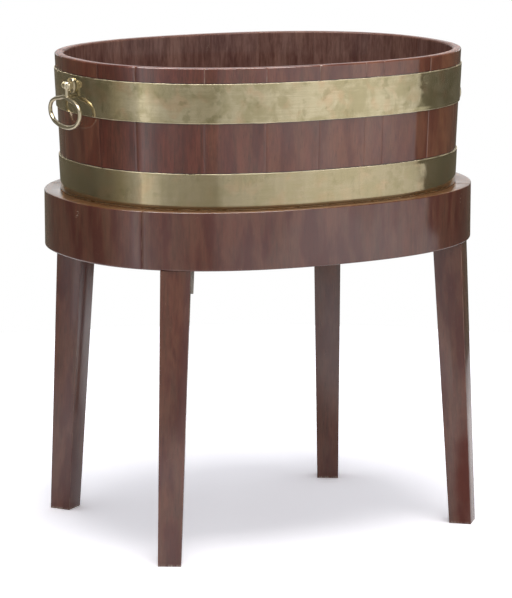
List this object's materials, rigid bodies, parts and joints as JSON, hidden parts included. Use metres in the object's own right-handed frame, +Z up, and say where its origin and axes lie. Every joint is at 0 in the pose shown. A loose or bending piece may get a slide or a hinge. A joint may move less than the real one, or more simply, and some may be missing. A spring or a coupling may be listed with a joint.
{
  "type": "cellarette",
  "caption": "Oval brass-bound staved wooden cooler with bail handles at its ends, set in a stand with a deep apron and splayed tapering legs.",
  "frame": {"origin": "on the floor under the middle of the oval", "axes": "+Z up, +X along the oval's long axis, -Y towards the front"},
  "size_m": [0.6098, 0.476, 0.672],
  "materials": {
    "cooler_mahogany": "polished, dark red-brown, worn at the rim",
    "stand_mahogany": "polished, red-brown",
    "hidden_wood": "dry and unpolished",
    "pale_wood": "bare and pale",
    "aged_brass": "aged sheet, lightly tarnished and dented",
    "cast_brass": "cast and rubbed bright"
  },
  "bodies": {
    "stand": {"front_rail": "stand_mahogany", "back_rail": "stand_mahogany", "left_rail": "stand_mahogany", "right_rail": "stand_mahogany", "front_left_leg": "stand_mahogany", "front_right_leg": "stand_mahogany", "back_left_leg": "stand_mahogany", "back_right_leg": "stand_mahogany", "left_bearer": "hidden_wood", "right_bearer": "hidden_wood", "knee_block": "pale_wood"},
    "cooler": {"stave_01": "cooler_mahogany", "stave_02": "cooler_mahogany", "stave_03": "cooler_mahogany", "stave_04": "cooler_mahogany", "stave_05": "cooler_mahogany", "stave_06": "cooler_mahogany", "stave_07": "cooler_mahogany", "stave_08": "cooler_mahogany", "stave_09": "cooler_mahogany", "stave_10": "cooler_mahogany", "stave_11": "cooler_mahogany", "stave_12": "cooler_mahogany", "stave_13": "cooler_mahogany", "stave_14": "cooler_mahogany", "stave_15": "cooler_mahogany", "stave_16": "cooler_mahogany", "stave_17": "cooler_mahogany", "stave_18": "cooler_mahogany", "stave_19": "cooler_mahogany", "stave_20": "cooler_mahogany", "bottom_board_1": "hidden_wood", "bottom_board_2": "hidden_wood", "bottom_board_3": "hidden_wood", "upper_hoop": "aged_brass", "lower_hoop": "aged_brass", "left_bracket": "cast_brass", "left_pin": "cast_brass", "right_bracket": "cast_brass", "right_pin": "cast_brass"},
    "left_handle": {"left_bail": "cast_brass"},
    "right_handle": {"right_bail": "cast_brass"}
  },
  "joints": [
    {"name": "cooler_lift", "type": "slide", "parent": "stand", "child": "cooler", "axis": [0, 0, 1], "range_m": [0, 0.2]},
    {"name": "left_handle_swing", "type": "hinge", "parent": "cooler", "child": "left_handle", "pos_m": [-0.29707, 0, 0.6365], "axis": [0, 1, 0], "range_deg": [-5, 170]},
    {"name": "right_handle_swing", "type": "hinge", "parent": "cooler", "child": "right_handle", "pos_m": [0.29707, 0, 0.6365], "axis": [0, -1, 0], "range_deg": [-5, 170]}
  ]
}
